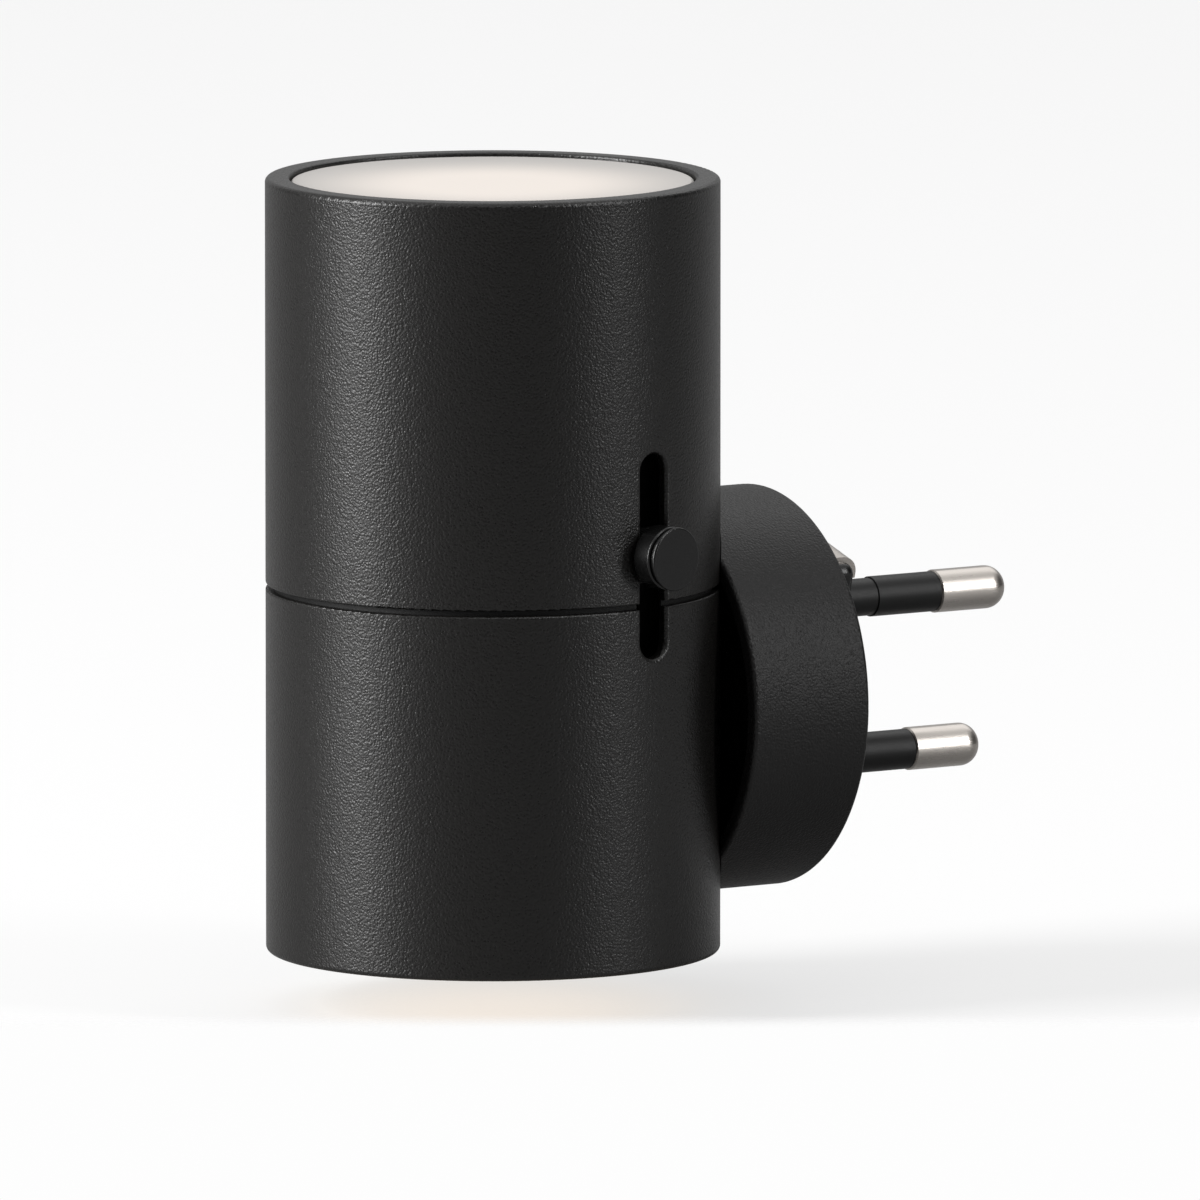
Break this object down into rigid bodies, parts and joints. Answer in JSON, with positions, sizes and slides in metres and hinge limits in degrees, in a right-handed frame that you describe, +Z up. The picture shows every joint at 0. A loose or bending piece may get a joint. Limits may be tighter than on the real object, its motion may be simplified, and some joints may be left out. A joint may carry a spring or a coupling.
{
  "type": "plug in night light",
  "caption": "Upright cylinder night light with a frosted disc at each end, a slide dimmer knob across its seam, and a round plug housing whose pins turn in the wall socket.",
  "frame": {"origin": "where the turning axis of the plug pins crosses the wall side of the plug housing", "axes": "+Y into the wall along the pins, +Z up along the tubes, +X to the side that the dimmer slot faces"},
  "size_m": [0.0534, 0.0896, 0.0856],
  "materials": {
    "powder_coat": "fine wrinkled black powder coat, satin",
    "housing_plastic": "fine grained black plastic, satin",
    "smooth_plastic": "smooth black plastic, satin",
    "opal_acrylic": "frosted opal acrylic, lit from behind",
    "white_plastic": "smooth white plastic",
    "plain_aluminium": "brushed",
    "zinc_steel": "zinc plated",
    "nickel_plate": "nickel plated, satin",
    "bare_brass": "bare, satin",
    "white_board": "white solder mask",
    "green_board": "green solder mask",
    "led_phosphor": "yellow phosphor under clear resin",
    "dark_component": "moulded black",
    "component_sleeve": "dark blue shrink sleeve",
    "fuse_ceramic": "glazed ceramic",
    "grey_plastic": "moulded grey",
    "insulator_sheet": "pressed insulating sheet",
    "brown_insulation": "brown wire insulation",
    "blue_insulation": "blue wire insulation"
  },
  "bodies": {
    "plug": {"pin_carrier": "smooth_plastic", "live_pin": "nickel_plate", "neutral_pin": "nickel_plate", "pin_sleeves": "smooth_plastic", "earth_clips": "nickel_plate", "live_brush": "bare_brass", "neutral_brush": "bare_brass"},
    "lamp": {"upper_tube": "powder_coat", "lower_tube": "powder_coat", "joining_sleeve": "smooth_plastic", "frame_posts": "plain_aluminium", "frame_screws": "zinc_steel", "driver_board": "green_board", "transformer": "dark_component", "filter_capacitors": "component_sleeve", "driver_chips": "dark_component", "fuse": "fuse_ceramic", "terminal_block": "grey_plastic", "dimmer_body": "grey_plastic", "dimmer_bracket": "zinc_steel", "plug_housing": "housing_plastic", "saddle_washer": "zinc_steel", "collar_nut": "zinc_steel", "rear_cover": "smooth_plastic", "cover_screws": "zinc_steel", "insulator": "insulator_sheet", "live_track": "bare_brass", "neutral_track": "bare_brass", "live_wire": "brown_insulation", "neutral_wire": "blue_insulation", "upper_diffuser": "opal_acrylic", "upper_reflector": "white_plastic", "upper_led_board": "white_board", "upper_leds": "led_phosphor", "upper_heat_plate": "plain_aluminium", "upper_connector": "white_plastic", "upper_lead": "white_plastic", "lower_diffuser": "opal_acrylic", "lower_reflector": "white_plastic", "lower_led_board": "white_board", "lower_leds": "led_phosphor", "lower_heat_plate": "plain_aluminium", "lower_connector": "white_plastic", "lower_lead": "white_plastic"},
    "slider": {"knob": "smooth_plastic", "slider_carriage": "smooth_plastic", "wiper": "bare_brass"}
  },
  "joints": [
    {"name": "lamp_turn", "type": "hinge", "parent": "plug", "child": "lamp", "pos_m": [0, 0, 0], "axis": [0, 1, 0], "range_deg": [-74, 106]},
    {"name": "dimmer_slide", "type": "slide", "parent": "lamp", "child": "slider", "axis": [0, 0, 1], "range_m": [-0.0094, 0.0094]}
  ]
}
